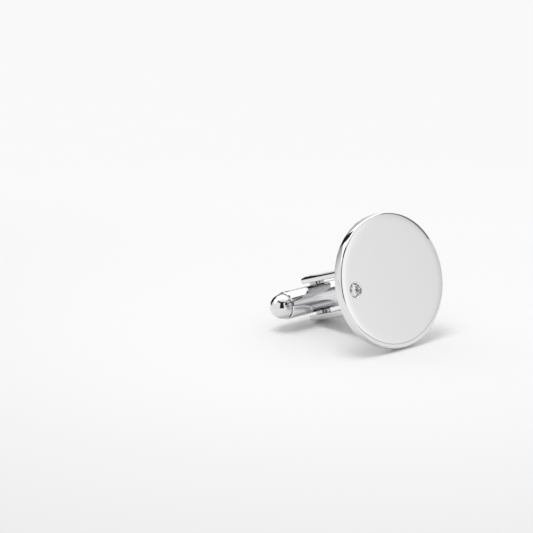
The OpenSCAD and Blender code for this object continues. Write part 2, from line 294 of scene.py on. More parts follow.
def new_material(name):
    """An empty material with a Principled shader, its tree, and object coordinates in millimetres."""
    material = bpy.data.materials.new(name)
    material.use_nodes = True
    tree = material.node_tree
    shader = tree.nodes["Principled BSDF"]
    place = add(tree, "ShaderNodeTexCoord")
    in_millimetres = add(tree, "ShaderNodeMapping",
                         {"Vector": place.outputs["Object"], "Scale": (1 / MM,) * 3})
    return material, tree, shader, in_millimetres.outputs["Vector"]


def steel(name, base, roughness, haze, streak, ripple, shade=0.97):
    """Metal with three traces of its finishing, each at a real size in millimetres.

    haze is the width of cloudy polishing marks, streak the spacing of fine lines along X, ripple
    the height of these lines, and shade the share of the colour that the darkest line keeps.
    """
    material, tree, shader, place = new_material(name)
    # How far the cloudy marks change the roughness either way, and the length of the fine lines
    spread, reach = 0.3, 4
    cloud = add(tree, "ShaderNodeTexNoise", {"Vector": place, "Scale": 1 / haze, "Detail": 4.0})
    drawn = add(tree, "ShaderNodeMapping", {"Vector": place, "Scale": (1 / reach, 1 / streak, 1 / streak)})
    lines = add(tree, "ShaderNodeTexNoise", {"Vector": drawn.outputs["Vector"], "Scale": 1.0, "Detail": 3.0})
    rough = add(tree, "ShaderNodeMapRange", {
        "Value": cloud.outputs["Fac"], "From Min": 0.3, "From Max": 0.7,
        "To Min": roughness * (1 - spread), "To Max": roughness * (1 + spread),
    })
    darker = add(tree, "ShaderNodeMapRange", {
        "Value": lines.outputs["Fac"], "From Min": 0.25, "From Max": 0.75, "To Min": shade, "To Max": 1.0,
    })
    tint = add(tree, "ShaderNodeMix", {0: 1.0, 6: base, 7: darker.outputs["Result"]},
               data_type="RGBA", blend_type="MULTIPLY")
    bump = add(tree, "ShaderNodeBump", {
        "Height": lines.outputs["Fac"], "Strength": 1.0, "Distance": ripple * MM,
    })
    tree.links.new(tint.outputs[2], shader.inputs["Base Color"])
    tree.links.new(rough.outputs["Result"], shader.inputs["Roughness"])
    tree.links.new(bump.outputs["Normal"], shader.inputs["Normal"])
    shader.inputs["Metallic"].default_value = 1.0
    return material


def dull_and_shade_inside(material, place, reach, roughness, base):
    """Makes steel duller and darker within a reach, in millimetres, of a frame's middle plane: rougher for
    the duller finish, and darker as painted shade.
    """
    tree = material.node_tree
    shader = tree.nodes["Principled BSDF"]
    axis = place.to_3x3() @ Vector((0, 1, 0))
    axis.normalize()
    spot = add(tree, "ShaderNodeTexCoord")
    along = add(tree, "ShaderNodeVectorMath", {0: spot.outputs["Object"], 1: axis}, operation="DOT_PRODUCT")
    away = add(tree, "ShaderNodeMath", {0: along.outputs["Value"], 1: place.translation.dot(axis)},
               operation="SUBTRACT")
    size = add(tree, "ShaderNodeMath", {0: away.outputs[0]}, operation="ABSOLUTE")
    begins, ends = [(reach + depth) * MM for depth in DULL_AND_SHADE_FADE]
    inside = add(tree, "ShaderNodeMapRange", {
        "Value": size.outputs[0], "From Min": begins, "From Max": ends, "To Min": 1.0, "To Max": 0.0,
    })
    # The roughness gives the duller finish; the darker base colour is painted shade between the arms.
    for socket, kind, value in (("Roughness", "FLOAT", roughness), ("Base Color", "RGBA", base)):
        mix = add(tree, "ShaderNodeMix", {0: inside.outputs["Result"]}, data_type=kind)
        first, second, result = (2, 3, 0) if kind == "FLOAT" else (6, 7, 2)
        tree.links.new(shader.inputs[socket].links[0].from_socket, mix.inputs[first])
        mix.inputs[second].default_value = value
        tree.links.new(mix.outputs[result], shader.inputs[socket])


def finish(name):
    """The material of that name, made at its first use."""
    if name in bpy.data.materials:
        return bpy.data.materials[name]
    colours = bpy.context.scene.cufflink_finish
    if name == "buffed_plated_steel":
        # Flat plate buffed to a mirror and plated: neutral, bright and almost without haze.
        return steel(name, colours.chrome, roughness=0.035, haze=1.5, streak=0.4, ripple=0.000004,
                     shade=0.996)
    if name == "tumbled_plated_steel":
        # Turned pieces polished in a barrel: a mirror with a slight waviness.
        return steel(name, colours.chrome, roughness=0.05, haze=0.8, streak=0.35, ripple=0.0002)
    if name == "formed_plated_steel":
        # Bent strip: polished outside, left dull between the arms where no wheel reaches, and darker there
        # with painted shade.
        material = steel(name, colours.chrome, roughness=0.05, haze=0.8, streak=0.35, ripple=0.0002)
        reach = in_mm("cufflink_fork").fork_gap / 2
        dull_and_shade_inside(material, layout().fork, reach, roughness=0.18, base=colours.inside)
        return material
    if name == "bright_cut_steel":
        # Collar cut with a diamond tool: the brightest edge on the piece.
        return steel(name, colours.collar, roughness=0.03, haze=0.5, streak=0.15, ripple=0.0001)
    if name == "turned_steel":
        # Pin, washers and plunger as they leave the lathe: satin, with fine lines.
        return steel(name, colours.plain, roughness=0.22, haze=0.3, streak=0.06, ripple=0.0008)
    if name == "drawn_spring_wire":
        # Hard drawn wire: darker, with a dull oiled sheen.
        return steel(name, colours.spring, roughness=0.3, haze=0.2, streak=0.05, ripple=0.0008)
    if name == "cubic_zirconia":
        return crystal(name, colours.stone)
    raise ValueError(f"no finish is named {name}")


def crystal(name, base):
    """Cut and polished cubic zirconia: clear, strongly refracting, with a trace of polishing haze."""
    material, tree, shader, place = new_material(name)
    cloud = add(tree, "ShaderNodeTexNoise", {"Vector": place, "Scale": 4.0, "Detail": 3.0})
    haze = add(tree, "ShaderNodeMapRange", {
        "Value": cloud.outputs["Fac"], "From Min": 0.45, "From Max": 0.8, "To Min": 0.0, "To Max": 0.03,
    })
    tree.links.new(haze.outputs["Result"], shader.inputs["Roughness"])
    shader.inputs["Base Color"].default_value = base
    shader.inputs["IOR"].default_value = 2.16
    shader.inputs["Transmission Weight"].default_value = 1.0
    return material


def rounded(corners, radius, closed=False):
    """An outline in the plane with its corners rounded, and a support point beside each arc.

    A corner with a third value is rounded by that radius.
    """
    points = []
    last = len(corners) - 1
    for i, corner in enumerate(corners):
        here = Vector(corner[:2])
        if not closed and i in (0, last):
            points.append(here)
            continue
        back, on = Vector(corners[i - 1][:2]) - here, Vector(corners[(i + 1) % (last + 1)][:2]) - here
        half = back.angle(on) / 2
        if half > WIDEST_HALF:
            points.append(here)
            continue
        own = corner[2] if len(corner) > 2 else radius
        reach = min(own / math.tan(half), SIDE_SHARE * back.length, SIDE_SHARE * on.length)
        r = reach * math.tan(half)
        back.normalize()
        on.normalize()
        centre = here + (back + on).normalized() * (r / math.sin(half))
        start, end = here + back * reach - centre, here + on * reach - centre
        points.append(here + back * reach * SUPPORT_AT)
        points += [centre + start.slerp(end, share) * r for share in spaced(0, 1, EDGE_STEPS)]
        points.append(here + on * reach * SUPPORT_AT)
    return points


def turned(outline, sides=TURN_SIDES, closed=False):
    """Mesh code for a turned form: an outline of (radius, height) points spun about Z.

    A closed outline is a ring's section, and an open one starts and ends on the axis.
    """
    form = bmesh.new()
    steps = spaced(0, 2 * math.pi, sides)[:-1]
    rings = []
    for r, z in outline:
        if r < 1e-6:
            rings.append([form.verts.new((0, 0, z))])
        else:
            rings.append([form.verts.new((r * math.cos(a), r * math.sin(a), z)) for a in steps])
    pairs = list(zip(rings, rings[1:] + rings[:1]))
    for low, high in pairs if closed else pairs[:-1]:
        for i in range(sides):
            j = (i + 1) % sides
            loop = [low[i % len(low)], low[j % len(low)], high[j % len(high)], high[i % len(high)]]
            loop = list(dict.fromkeys(loop))
            if len(loop) > 2:
                form.faces.new(loop)
    bmesh.ops.recalc_face_normals(form, faces=form.faces)
    return form


def as_mesh(name, form):
    """The mesh of mesh code, which is freed."""
    mesh = bpy.data.meshes.new(name)
    form.to_mesh(mesh)
    form.free()
    return mesh


def with_modifiers(mesh, setup):
    """A plain mesh after the modifiers that setup puts on it. Helpers that it returns are removed."""
    base = bpy.data.objects.new("base", mesh)
    bpy.context.scene.collection.objects.link(base)
    helpers = setup(base) or []
    bpy.context.view_layer.update()
    graph = bpy.context.evaluated_depsgraph_get()
    result = bpy.data.meshes.new_from_object(base.evaluated_get(graph), depsgraph=graph)
    for helper in [base, *helpers]:
        bpy.data.objects.remove(helper)
    return result


def carved(mesh, cutters):
    """The mesh after exact cuts by other forms."""
    def setup(base):
        helpers = []
        for form in cutters:
            tool = bpy.data.objects.new("cutter", as_mesh("cutter", form))
            bpy.context.scene.collection.objects.link(tool)
            cut = base.modifiers.new("cut", "BOOLEAN")
            cut.operation, cut.solver, cut.object = "DIFFERENCE", "EXACT", tool
            helpers.append(tool)
        return helpers

    return with_modifiers(mesh, setup)


def piece(name, mesh, place, material, body, slot, *nodes):
    """Puts a finished mesh in its place as a piece of the cufflink that stands for its CAD nodes."""
    mesh.name = name
    mesh.transform(place)
    mesh.materials.clear()
    mesh.materials.append(finish(material))
    mesh.shade_smooth()
    mesh.set_sharp_from_angle(angle=SHARP_ANGLE)
    made = bpy.data.objects.new(name, mesh)
    bpy.context.scene.collection.objects.link(made)
    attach(made, body)
    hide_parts(*nodes)
    return made


def bar(r, low, high):
    """Mesh code for a plain bar along Z between two heights, for cuts."""
    return turned([(0, low), (r, low), (r, high), (0, high)], SMALL_SIDES)


def along_y(form):
    """Turns a form along Z so that it lies along Y."""
    bmesh.ops.rotate(form, cent=(0, 0, 0), matrix=Matrix.Rotation(-math.pi / 2, 3, "X"), verts=form.verts)
    return form


class CUFFLINK_OT_face(Operator):
    """Makes the polished face with the hole for the stone's collar"""

    bl_idname = "cufflink.face"
    bl_label = "Face"

    def execute(self, context):
        s = in_mm("cufflink_face")
        r, t, crown, back_r = s.disc_d / 2, s.disc_t, s.rim_crown, s.rim_soft
        edge_r = s.disc_bevel * BEVEL_GROWTH
        # Where buffing has rounded the face: flat to flat_r, then ever steeper up to roll_r.
        flat_r = r - s.roll_width
        roll_r = r - crown - edge_r * BEVEL_REACH
        face = [
            (x, t - s.roll_off * share**4)
            for x, share in zip(spaced(flat_r, roll_r, ROLL_STEPS), spaced(0, 1, ROLL_STEPS))
        ]
        slope = math.atan(4 * s.roll_off / (roll_r - flat_r))
        # The crown of the rim leans by this much where it ends.
        lean = math.atan(4 * crown / (t - s.disc_bevel - back_r))
        edge_z = face[-1][1]
        front = [
            (roll_r + edge_r * (math.sin(a) - math.sin(slope)),
             edge_z - edge_r * (math.cos(slope) - math.cos(a)))
            for a in spaced(slope, math.pi / 2 - lean, RIM_STEPS)[1:]
        ]
        back = [
            (r - crown - back_r * (math.cos(lean) - math.sin(a)), back_r * (1 - math.cos(a)))
            for a in spaced(0, math.pi / 2 - lean, ROLL_STEPS)
        ]
        heights = spaced(back[-1][1], front[-1][1], RIM_STEPS)
        rim = [(r - crown * w**2, z) for w, z in zip(spaced(-1, 1, RIM_STEPS), heights)]
        # A support point just inside each curve keeps the flat sides level in shading.
        inset = 0.05
        outline = [
            (0, 0), (back[0][0] - inset, 0), *back, *rim[1:-1], *reversed(front), *reversed(face),
            (flat_r - 2 * inset, t), (0, t),
        ]
        seat = bar(s.stone_d / 2 + s.setting_rim + FIT, t - s.setting_h, t + OVERRUN)
        point = t - s.table_drop - s.stone_d * (CROWN_SHARE + GIRDLE_SHARE + PAVILION_SHARE)
        pilot = bar(s.stone_d / 2 * HOLE_SHARE, point - FIT, t)
        for form in (seat, pilot):
            bmesh.ops.translate(form, vec=(s.stone_inset - r, 0, 0), verts=form.verts)
        mesh = carved(as_mesh("face", turned(outline)), [seat, pilot])
        piece("face_plate", mesh, layout().face, "buffed_plated_steel",
              "face_and_fork", "polished_steel", "face_disc")
        return {"FINISHED"}


class CUFFLINK_OT_collar(Operator):
    """Makes the turned collar that holds the stone"""

    bl_idname = "cufflink.collar"
    bl_label = "Stone's collar"

    def execute(self, context):
        s = in_mm("cufflink_face")
        r, top, low = s.stone_d / 2, s.disc_t, s.disc_t - s.setting_h
        girdle_top = top - s.table_drop - s.stone_d * CROWN_SHARE
        girdle_low = girdle_top - s.stone_d * GIRDLE_SHARE
        hole, lip, seat, out = r * HOLE_SHARE, r - s.lip_reach, r + FIT, r + s.setting_rim
        # The lip's upright inner wall ends this far above the girdle, and its edges are this crisp.
        lip_foot, edge = 0.06, 0.012
        outline = rounded([
            (hole, low), (out, low), (out, top), (lip + s.lip_bevel, top), (lip, top - s.lip_bevel),
            (lip, girdle_top + lip_foot), (seat, girdle_top + FIT), (seat, girdle_low - FIT),
            (hole, girdle_low - FIT - (seat - hole) * 2 * PAVILION_SHARE),
        ], edge, closed=True)
        mesh = as_mesh("collar", turned(outline, SMALL_SIDES, closed=True))
        piece("stone_collar", mesh, layout().stone, "bright_cut_steel",
              "face_and_fork", "bright_rim", "stone_setting")
        return {"FINISHED"}


class CUFFLINK_OT_stone(Operator):
    """Makes the round brilliant-cut stone, facet by facet"""

    bl_idname = "cufflink.stone"
    bl_label = "Stone"

    def execute(self, context):
        s = in_mm("cufflink_face")
        r = s.stone_d / 2
        table_z = s.disc_t - s.table_drop
        top_z = table_z - s.stone_d * CROWN_SHARE
        low_z = top_z - s.stone_d * GIRDLE_SHARE
        point_z = low_z - s.stone_d * PAVILION_SHARE
        half = math.pi / 8
        table_r, star_r, inner_r = r * TABLE_SHARE, r * STAR_SHARE, r * INNER_SHARE
        star_z = table_z + (top_z - table_z) * (star_r * math.cos(half) - table_r) / (r - table_r)
        inner_z = low_z + (point_z - low_z) * (r - inner_r * math.cos(half)) / r
        form = bmesh.new()

        def ring(count, radius, z, turn=0.0):
            angles = [a + turn for a in spaced(0, 2 * math.pi, count)[:-1]]
            return [form.verts.new((radius * math.cos(a), radius * math.sin(a), z)) for a in angles]

        table, star = ring(8, table_r, table_z), ring(8, star_r, star_z, half)
        top, low = ring(16, r, top_z), ring(16, r, low_z)
        inner, point = ring(8, inner_r, inner_z, half), form.verts.new((0, 0, point_z))
        form.faces.new(table)
        for i in range(8):
            j, k, m = (i + 1) % 8, 2 * i, (2 * i + 2) % 16
            form.faces.new((table[i], star[i], table[j]))
            form.faces.new((table[i], star[i - 1], top[k], star[i]))
            form.faces.new((star[i], top[k], top[k + 1]))
            form.faces.new((star[i], top[k + 1], top[m]))
            form.faces.new((top[k], low[k], low[k + 1], top[k + 1]))
            form.faces.new((top[k + 1], low[k + 1], low[m], top[m]))
            form.faces.new((low[k], inner[i], low[k + 1]))
            form.faces.new((low[k + 1], inner[i], low[m]))
            form.faces.new((low[m], inner[i], point, inner[j]))
        bmesh.ops.recalc_face_normals(form, faces=form.faces)
        made = piece("brilliant_stone", as_mesh("stone", form), layout().stone, "cubic_zirconia",
                     "face_and_fork", "crystal", "stone")
        made.data.shade_flat()
        return {"FINISHED"}


def new_tree(name, inputs):
    """A Geometry Nodes tree with named inputs and one output, and the sockets of its inputs."""
    tree = bpy.data.node_groups.new(name, "GeometryNodeTree")
    for label, kind in inputs.items():
        tree.interface.new_socket(label, in_out="INPUT", socket_type=f"NodeSocket{kind}")
    tree.interface.new_socket("Geometry", in_out="OUTPUT", socket_type="NodeSocketGeometry")
    return tree, add(tree, "NodeGroupInput").outputs


def end_tree(tree, geometry, material):
    """Ends a tree with its geometry made real and given its material."""
    solid = add(tree, "GeometryNodeRealizeInstances", {"Geometry": geometry})
    clad = add(tree, "GeometryNodeSetMaterial",
               {"Geometry": solid.outputs["Geometry"], "Material": material})
    add(tree, "NodeGroupOutput", {"Geometry": clad.outputs["Geometry"]})
    return tree


def strip_tree():
    """Geometry Nodes that sweep a section along a path and round the corners at both ends of it."""
    tree, given = new_tree("crowned_strip", {
        "Geometry": "Geometry", "Section": "Object", "Half Width": "Float", "Corner Radius": "Float",
        "Material": "Material",
    })
    half, radius = given["Half Width"], given["Corner Radius"]
    along = add(tree, "GeometryNodeSplineParameter").outputs["Length"]
    total = add(tree, "GeometryNodeSplineLength").outputs["Length"]
    rest = add(tree, "ShaderNodeMath", {0: total, 1: along}, operation="SUBTRACT")
    near = add(tree, "ShaderNodeMath", {0: along, 1: rest.outputs[0]}, operation="MINIMUM")
    kept = add(tree, "GeometryNodeStoreNamedAttribute",
               {"Geometry": given["Geometry"], "Name": "end_distance", "Value": near.outputs[0]},
               data_type="FLOAT", domain="POINT")
    section = add(tree, "GeometryNodeObjectInfo", {"Object": given["Section"]})
    swept = add(tree, "GeometryNodeCurveToMesh", {
        "Curve": kept.outputs["Geometry"], "Profile Curve": section.outputs["Geometry"], "Fill Caps": True,
    })
    # Within a corner radius of an end, the half width loses what a circle's arc leaves out.
    distance = add(tree, "GeometryNodeInputNamedAttribute", {"Name": "end_distance"}, data_type="FLOAT")
    short = add(tree, "ShaderNodeMath", {0: radius, 1: distance.outputs[0]}, operation="SUBTRACT")
    inside = add(tree, "ShaderNodeMath", {0: short.outputs[0], 1: 0.0}, operation="MAXIMUM")
    square = add(tree, "ShaderNodeMath", {0: inside.outputs[0], 1: inside.outputs[0]}, operation="MULTIPLY")
    radius2 = add(tree, "ShaderNodeMath", {0: radius, 1: radius}, operation="MULTIPLY")
    left = add(tree, "ShaderNodeMath", {0: radius2.outputs[0], 1: square.outputs[0]}, operation="SUBTRACT")
    safe = add(tree, "ShaderNodeMath", {0: left.outputs[0], 1: 0.0}, operation="MAXIMUM")
    chord = add(tree, "ShaderNodeMath", {0: safe.outputs[0]}, operation="SQRT")
    lost = add(tree, "ShaderNodeMath", {0: radius, 1: chord.outputs[0]}, operation="SUBTRACT")
    width = add(tree, "ShaderNodeMath", {0: half, 1: lost.outputs[0]}, operation="SUBTRACT")
    share = add(tree, "ShaderNodeMath", {0: width.outputs[0], 1: half}, operation="DIVIDE")
    factor = add(tree, "ShaderNodeCombineXYZ", {"X": 1.0, "Y": 1.0, "Z": share.outputs[0]})
    where = add(tree, "GeometryNodeInputPosition")
    scaled = add(tree, "ShaderNodeVectorMath", {0: where.outputs[0], 1: factor.outputs[0]},
                 operation="MULTIPLY")
    moved = add(tree, "GeometryNodeSetPosition",
                {"Geometry": swept.outputs["Mesh"], "Position": scaled.outputs["Vector"]})
    return end_tree(tree, moved.outputs["Geometry"], given["Material"])


def set_inputs(modifier, values):
    """Sets a Geometry Nodes modifier's inputs, which are found by their names."""
    for item in modifier.node_group.interface.items_tree:
        if item.in_out == "INPUT" and item.name in values:
            modifier[item.identifier] = values[item.name]


def line(name, points, closed=False):
    """A curve object of straight steps through points."""
    curve = bpy.data.curves.new(name, "CURVE")
    curve.dimensions = "3D"
    curve.twist_mode = "Z_UP"
    spline = curve.splines.new("POLY")
    spline.points.add(len(points) - 1)
    for there, p in zip(spline.points, points):
        there.co = (*p, 1.0)
    spline.use_cyclic_u = closed
    return bpy.data.objects.new(name, curve)


class CUFFLINK_OT_fork(Operator):
    """Makes the crowned strip that is bent into the fork"""

    bl_idname = "cufflink.fork"
    bl_label = "Fork"

    def execute(self, context):
        s = in_mm("cufflink_face", "cufflink_fork")
        half, t, crown_r = s.strip_w / 2, s.strip_t, crown_radius(s)
        # The section: flat inner side at 0, crowned outer side, soft outer and crisp inner edges.
        soft, crisp = 0.33, 0.04
        flank = half - 2 * soft
        top = [
            (t + s.strip_crown - crown_r + math.sqrt(crown_r**2 - w * w), w)
            for w in spaced(flank, -flank, 32)
        ]
        corners = [(0, -half), (0, half), (t, half, soft), *top, (t, -half, soft)]
        # The sweep puts the section's -X on the outer side of the path.
        section = line("section", [(-p.x, p.y, 0) for p in rounded(corners, crisp, closed=True)], True)
        # The path of the inner side, drawn with the arms along -X and the bends about Z. The steps
        # are short round the ends, and a straight lead comes before each bend.
        gap, reach, r, c, lead = s.fork_gap / 2, s.arm_reach, s.bend_r, s.arm_corner_r, 0.5
        ends = [reach - c * (1 - math.cos(a)) for a in spaced(0, math.pi / 2, 14)]
        arm = [(-x, gap) for x in ends] + [(-(t + r + lead), gap)]
        bend = [
            (-(t + r) + r * math.sin(a), gap - r + r * math.cos(a))
            for a in spaced(0, math.pi / 2, 32)
        ]
        side = arm + bend
        path = side + [(x, -y) for x, y in reversed(side)]
        spine = line("strip_path", [(x, y, 0) for x, y in path])
        for helper in (section, spine):
            context.scene.collection.objects.link(helper)
        sweep = spine.modifiers.new("sweep", "NODES")
        sweep.node_group = strip_tree()
        set_inputs(sweep, {
            "Section": section, "Half Width": half, "Corner Radius": c,
            "Material": finish("formed_plated_steel"),
        })
        context.view_layer.update()
        graph = context.evaluated_depsgraph_get()
        mesh = bpy.data.meshes.new_from_object(spine.evaluated_get(graph), depsgraph=graph)
        for helper in (section, spine):
            bpy.data.objects.remove(helper)
        # From the drawing of the path to the frame of the fork: X along -Z, Y along Y, Z along X.
        mesh.transform(Matrix(((0, 0, 1, 0), (0, 1, 0, 0), (1, 0, 0, 0), (0, 0, 0, 1))))
        form = bmesh.new()
        form.from_mesh(mesh)
        bmesh.ops.recalc_face_normals(form, faces=form.faces)
        # The base is filed flat where it meets the face.
        level = layout().fork.inverted() @ layout().face
        bmesh.ops.bisect_plane(
            form, geom=form.verts[:] + form.edges[:] + form.faces[:], dist=1e-5, clear_outer=True,
            plane_co=level @ Vector((0, 0, 0)), plane_no=level.to_3x3() @ Vector((0, 0, 1)),
        )
        bmesh.ops.holes_fill(form, edges=[e for e in form.edges if e.is_boundary], sides=0)
        form.to_mesh(mesh)
        form.free()

        def soften(base):
            edge = base.modifiers.new("edge", "BEVEL")
            edge.width, edge.segments = BROKEN_EDGE, 3
            edge.limit_method, edge.angle_limit = "ANGLE", math.radians(60)

        mesh = with_modifiers(mesh, soften)
        pin_r, head_r = s.pin_d / 2 + FIT, s.pin_head_d / 2 + FIT
        holes = []
        for side in (-1, 1):
            hole = turned([
                (0, -OVERRUN), (pin_r, -OVERRUN), (pin_r, -s.pin_head_h), (head_r, 0), (head_r, OVERRUN),
                (0, OVERRUN),
            ], SMALL_SIDES)
            turn = Matrix.Rotation(-side * math.pi / 2, 3, "X")
            bmesh.ops.rotate(hole, cent=(0, 0, 0), matrix=turn, verts=hole.verts)
            place = (0, side * arm_outside(s), s.pin_inset - s.arm_reach)
            bmesh.ops.translate(hole, vec=place, verts=hole.verts)
            holes.append(hole)
        piece("fork_strip", carved(mesh, holes), layout().fork, "formed_plated_steel",
              "face_and_fork", "polished_steel", "u_arm")
        return {"FINISHED"}


class CUFFLINK_OT_pin(Operator):
    """Makes the pin with its filed heads, and the two washers"""

    bl_idname = "cufflink.pin"
    bl_label = "Pin and washers"

    def execute(self, context):
        s = in_mm("cufflink_fork", "cufflink_toggle")
        crown_r, out = crown_radius(s), arm_outside(s)
        r, head = s.pin_d / 2, s.pin_head_d / 2
        # A head's flat top, and its edge, which is broken in two steps
        top = [(x, out) for x in spaced(0, head, 8)[:-1]]
        top += [(head - 0.015, out), (head - 0.006, out - 0.002), (head, out - 0.01)]
        upper = [*top, (r, out - s.pin_head_h)]
        outline = [*[(x, -y) for x, y in upper], *reversed(upper)]
        form = along_y(turned(outline, SMALL_SIDES))
        # Filing has given the tops of the heads the crown of the strip.
        skin = 0.05
        for v in form.verts:
            if abs(v.co.y) > out - skin:
                drop = crown_r - math.sqrt(crown_r**2 - v.co.x**2)
                v.co.y -= math.copysign(drop, v.co.y)
        flats = []
        for quarter in range(4):
            flat = bmesh.new()
            bmesh.ops.create_cube(flat, size=1.0)
            bmesh.ops.scale(flat, vec=(r, s.chamber_d + 2 * LOOSE, 2 * r), verts=flat.verts)
            bmesh.ops.translate(flat, vec=(r * (FLAT_SHARE + 0.5), 0, 0), verts=flat.verts)
            turn = Matrix.Rotation(quarter * math.pi / 2, 3, "Y")
            bmesh.ops.rotate(flat, cent=(0, 0, 0), matrix=turn, verts=flat.verts)
            flats.append(flat)
        where = layout().pin
        piece("cross_pin", carved(as_mesh("pin", form), flats), where, "turned_steel",
              "face_and_fork", "plain_steel", "pivot_pin")
        thick = s.fork_gap / 2 - (s.barrel_d / 2 - SEAT_DEPTH) - RUN
        outer, bore = s.washer_d / 2, r + RUN
        for node, side in (("upper_washer", 1), ("lower_washer", -1)):
            outline = rounded([
                (bore, -thick / 2), (outer, -thick / 2), (outer, thick / 2), (bore, thick / 2),
            ], BROKEN_EDGE, closed=True)
            ring = along_y(turned(outline, SMALL_SIDES, closed=True))
            at = where @ Matrix.Translation((0, side * (s.fork_gap - thick) / 2, 0))
            piece(node.replace("washer", "thrust_washer"), as_mesh(node, ring), at, "turned_steel",
                  "face_and_fork", "plain_steel", node)
        return {"FINISHED"}


class CUFFLINK_OT_toggle(Operator):
    """Makes the barrel of the toggle and its two domed caps"""

    bl_idname = "cufflink.toggle"
    bl_label = "Toggle"

    def execute(self, context):
        s = in_mm("cufflink_fork", "cufflink_toggle")
        end, r, bore, c = s.barrel_l / 2, s.barrel_d / 2, s.chamber_d / 2, s.barrel_chamfer
        blind = s.spigot_l + FIT - end
        outline = rounded([
            (0, blind), (bore, blind), (bore, -end), (r - c, -end), (r, c - end),
            (r, end - c), (r - c, end), (bore, end), (bore, 0), (0, 0),
        ], BROKEN_EDGE)
        hole = along_y(bar(s.pin_d / 2 + RUN, -r - OVERRUN, r + OVERRUN))
        seats = [
            along_y(bar(s.washer_d / 2 + LOOSE, *sorted((side * (r - SEAT_DEPTH), side * (r + OVERRUN)))))
            for side in (-1, 1)
        ]
        barrel = carved(as_mesh("barrel", turned(outline)), [hole, *seats])
        where = layout().toggle
        piece("barrel", barrel, where, "tumbled_plated_steel", "toggle", "polished_steel", "toggle_barrel")
        spigot, neck, ring, step = bore - FIT, s.groove_d / 2, s.ring_d / 2, s.groove_w + s.ring_w
        # The turned steps of a cap, with slightly rounded edges. The last point only shows the way
        # to the dome, which starts 4 of its 48 steps up.
        steps = rounded([
            (0, -s.spigot_l), (spigot, -s.spigot_l), (spigot, 0), (neck, 0), (neck, s.groove_w),
            (ring, s.groove_w), (ring, step), (s.dome_r, step), (s.dome_r, step + 0.1),
        ], 0.04)
        dome = [
            (s.dome_r * math.cos(a), step + s.dome_r * math.sin(a))
            for a in spaced(0, math.pi / 2, 48)[4:]
        ]
        dome[-1] = (0, dome[-1][1])
        for node, turn in (("left_end_cap", math.pi), ("right_end_cap", 0)):
            cap = as_mesh(node, turned([*steps[:-1], *dome]))
            at = where @ Matrix.Rotation(turn, 4, "Y") @ Matrix.Translation((0, 0, end))
            piece(node.replace("end", "domed"), cap, at, "tumbled_plated_steel",
                  "toggle", "polished_steel", node)
        return {"FINISHED"}


def spring_tree():
    """Geometry Nodes that wind a round wire into a compression spring."""
    tree, given = new_tree("wound_spring", {
        "Turns": "Float", "Coil Radius": "Float", "Wire Radius": "Float", "Rise": "Float",
        "Material": "Material",
    })
    coil = add(tree, "GeometryNodeCurveSpiral", {
        "Resolution": 48, "Rotations": given["Turns"], "Start Radius": given["Coil Radius"],
        "End Radius": given["Coil Radius"], "Height": given["Rise"],
    })
    wire = add(tree, "GeometryNodeCurvePrimitiveCircle", {"Resolution": 16, "Radius": given["Wire Radius"]})
    wound = add(tree, "GeometryNodeCurveToMesh", {
        "Curve": coil.outputs["Curve"], "Profile Curve": wire.outputs["Curve"], "Fill Caps": True,
    })
    return end_tree(tree, wound.outputs["Mesh"], given["Material"])


class CUFFLINK_OT_detent(Operator):
    """Makes the plunger and the spring inside the barrel"""

    bl_idname = "cufflink.detent"
    bl_label = "Detent"

    def execute(self, context):
        s = in_mm("cufflink_fork", "cufflink_toggle")
        bore, start = s.chamber_d / 2, s.pin_d / 2 * FLAT_SHARE + FIT
        coil = bore - s.wire_d / 2 - LOOSE
        stub, collar, nose = coil - s.wire_d / 2 - LOOSE, bore - RUN, s.nose_d / 2
        step, top = start + s.nose_l, start + s.nose_l + s.collar_l
        outline = rounded([
            (0, start), (nose, start), (nose, step), (collar, step), (collar, top), (stub, top),
            (stub, top + s.stub_l), (0, top + s.stub_l),
        ], BROKEN_EDGE)
        where = layout().toggle
        plunger = as_mesh("plunger", turned(outline, SMALL_SIDES))
        piece("plunger", plunger, where, "turned_steel", "toggle", "plain_steel", "detent_plunger")
        low = top + FIT + s.wire_d / 2
        high = s.barrel_l / 2 - s.spigot_l - FIT - s.wire_d / 2

        def wind(base):
            coils = base.modifiers.new("coils", "NODES")
            coils.node_group = spring_tree()
            set_inputs(coils, {
                "Turns": float(s.spring_turns), "Coil Radius": coil, "Wire Radius": s.wire_d / 2,
                "Rise": high - low, "Material": finish("drawn_spring_wire"),
            })

        spring = with_modifiers(bpy.data.meshes.new("spring"), wind)
        piece("spring", spring, where @ Matrix.Translation((0, 0, low)), "drawn_spring_wire",
              "toggle", "spring_steel", "detent_spring")
        return {"FINISHED"}


